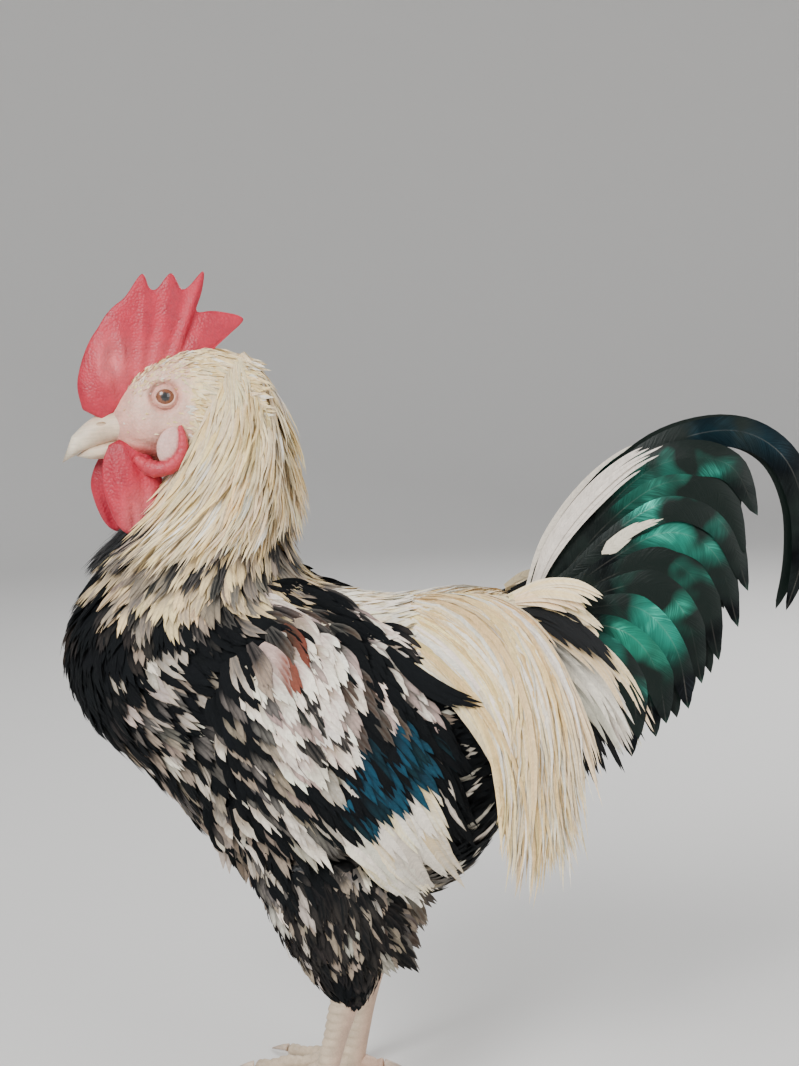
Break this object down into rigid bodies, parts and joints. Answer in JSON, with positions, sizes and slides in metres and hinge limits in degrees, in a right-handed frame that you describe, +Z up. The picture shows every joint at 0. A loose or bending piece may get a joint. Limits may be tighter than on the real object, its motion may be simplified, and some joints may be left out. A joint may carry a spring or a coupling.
{
  "type": "bantam chicken",
  "caption": "Standing bantam cockerel with a tall single comb, full cream hackle, folded wings, draped saddle and arched sickle tail.",
  "frame": {"origin": "middle of the bounding box's underside, on the floor that the soles and toes stand on", "axes": "the bird faces -X and its left side is towards -Y; +Z is up"},
  "size_m": [0.302, 0.1156, 0.3325],
  "materials": {
    "cream_feather": "soft feather",
    "white_feather": "soft feather",
    "black_feather": "glossy feather",
    "red_flesh": "soft skin",
    "face_flesh": "soft skin",
    "horn": "smooth horn",
    "leg_scale": "scaled skin",
    "iris": "wet and glossy"
  },
  "bodies": {
    "root": {"beak_lower": "horn", "beak_upper": "horn", "claw_left_hind": "horn", "claw_left_inner": "horn", "claw_left_middle": "horn", "claw_left_outer": "horn", "claw_right_hind": "horn", "claw_right_inner": "horn", "claw_right_middle": "horn", "claw_right_outer": "horn", "comb": "red_flesh", "ear_lobe_left": "red_flesh", "ear_lobe_right": "red_flesh", "eye_left": "iris", "eye_right": "iris", "head": "face_flesh", "neck": "cream_feather", "saddle_left": "cream_feather", "saddle_right": "cream_feather", "shank_left": "leg_scale", "shank_right": "leg_scale", "tail": "black_feather", "thigh_left": "black_feather", "thigh_right": "black_feather", "toe_left_hind": "leg_scale", "toe_left_inner": "leg_scale", "toe_left_middle": "leg_scale", "toe_left_outer": "leg_scale", "toe_right_hind": "leg_scale", "toe_right_inner": "leg_scale", "toe_right_middle": "leg_scale", "toe_right_outer": "leg_scale", "torso": "black_feather", "wattle_left": "red_flesh", "wattle_right": "red_flesh", "wing_left": "white_feather", "wing_right": "white_feather"}
  },
  "joints": []
}
